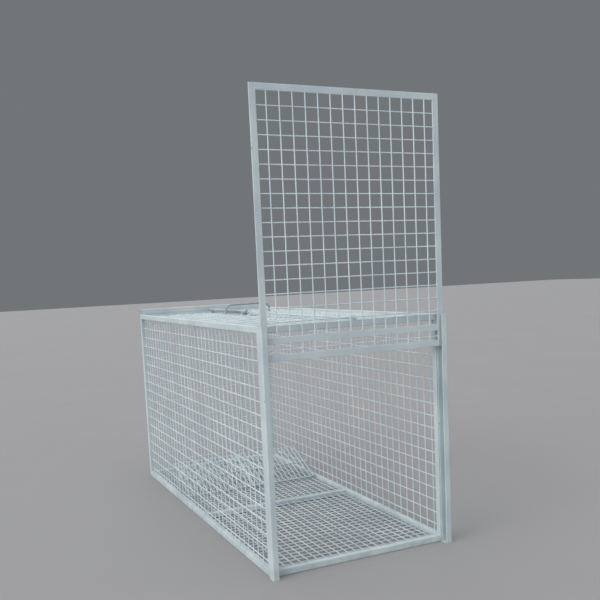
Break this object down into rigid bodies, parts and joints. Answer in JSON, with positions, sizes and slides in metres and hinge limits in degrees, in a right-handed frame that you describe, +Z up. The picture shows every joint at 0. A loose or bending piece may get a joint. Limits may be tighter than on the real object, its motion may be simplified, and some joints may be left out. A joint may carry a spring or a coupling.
{
  "type": "live catch trap",
  "caption": "Walk-in wire mesh cage trap in a box-tube frame, with a drop door held up in front guides, a see-saw treadle and a roof trigger rod.",
  "frame": {"origin": "on the ground under the middle of the bounding box", "axes": "+Z up, +Y from the door end to the rear end along the cage, +X to the right seen from the door end"},
  "size_m": [0.788, 1.796, 1.762],
  "materials": {
    "enamel": "satin, brushed on by hand",
    "mesh_enamel": "satin enamel over welded wire",
    "galvanised": "dull zinc",
    "bare_steel": "dull, lightly worn",
    "handle_paint": "satin grey"
  },
  "bodies": {
    "cage": {"post_front_left": "enamel", "post_rear_left": "enamel", "post_front_right": "enamel", "post_rear_right": "enamel", "rail_base_front": "enamel", "rail_base_rear": "enamel", "rail_base_left": "enamel", "rail_base_right": "enamel", "rail_top_front": "enamel", "rail_top_rear": "enamel", "rail_top_left": "enamel", "rail_top_right": "enamel", "header_rear": "enamel", "floor_cross_bar": "enamel", "mesh_left": "mesh_enamel", "mesh_right": "mesh_enamel", "mesh_rear": "mesh_enamel", "mesh_roof": "mesh_enamel", "mesh_floor_front": "mesh_enamel", "mesh_floor_rear": "mesh_enamel", "door_guide_left": "enamel", "door_guide_right": "enamel", "door_stops": "enamel", "roof_tube": "galvanised", "tube_saddles": "enamel", "rod_eye": "enamel", "crank_hanger": "enamel", "crank_pivot_pin": "bare_steel", "axle_lugs": "enamel", "carry_handle": "handle_paint"},
    "door": {"door_stile_left": "enamel", "door_stile_right": "enamel", "door_rail_bottom": "enamel", "door_rail_second": "enamel", "door_rail_top": "enamel", "door_mesh_low": "mesh_enamel", "door_mesh_main": "mesh_enamel"},
    "trigger": {"trigger_rod": "enamel", "trigger_cross_pin": "bare_steel"},
    "crank": {"bell_crank": "enamel"},
    "link": {"link_rod": "enamel"},
    "treadle": {"treadle_axle": "enamel", "treadle_long_bars": "enamel", "treadle_end_bars": "enamel", "treadle_mesh": "mesh_enamel", "treadle_lug": "enamel"}
  },
  "joints": [
    {"name": "door_slide", "type": "slide", "parent": "cage", "child": "door", "axis": [0, 0, 1], "range_m": [-0.7945, 0.02]},
    {"name": "treadle_tilt", "type": "hinge", "parent": "cage", "child": "treadle", "pos_m": [0, 0.388, 0.076], "axis": [1, 0, 0], "range_deg": [-6, 3.5]},
    {"name": "crank_turn", "type": "hinge", "parent": "cage", "child": "crank", "pos_m": [0.007, 0.195, 0.888], "axis": [1, 0, 0], "range_deg": [-24.7, 14.5]},
    {"name": "link_swing", "type": "hinge", "parent": "crank", "child": "link", "pos_m": [0.007, 0.225, 0.888], "axis": [1, 0, 0], "range_deg": [-14.8, 25.3]},
    {"name": "trigger_slide", "type": "slide", "parent": "cage", "child": "trigger", "axis": [0, -1, 0], "range_m": [-0.0192, 0.0112]}
  ],
  "couplings": [
    {"joint": "crank_turn", "follows": "treadle_tilt", "ratio": 4.0973},
    {"joint": "link_swing", "follows": "treadle_tilt", "ratio": -4.2005},
    {"joint": "trigger_slide", "follows": "treadle_tilt", "m_per_rad": 0.1826}
  ]
}
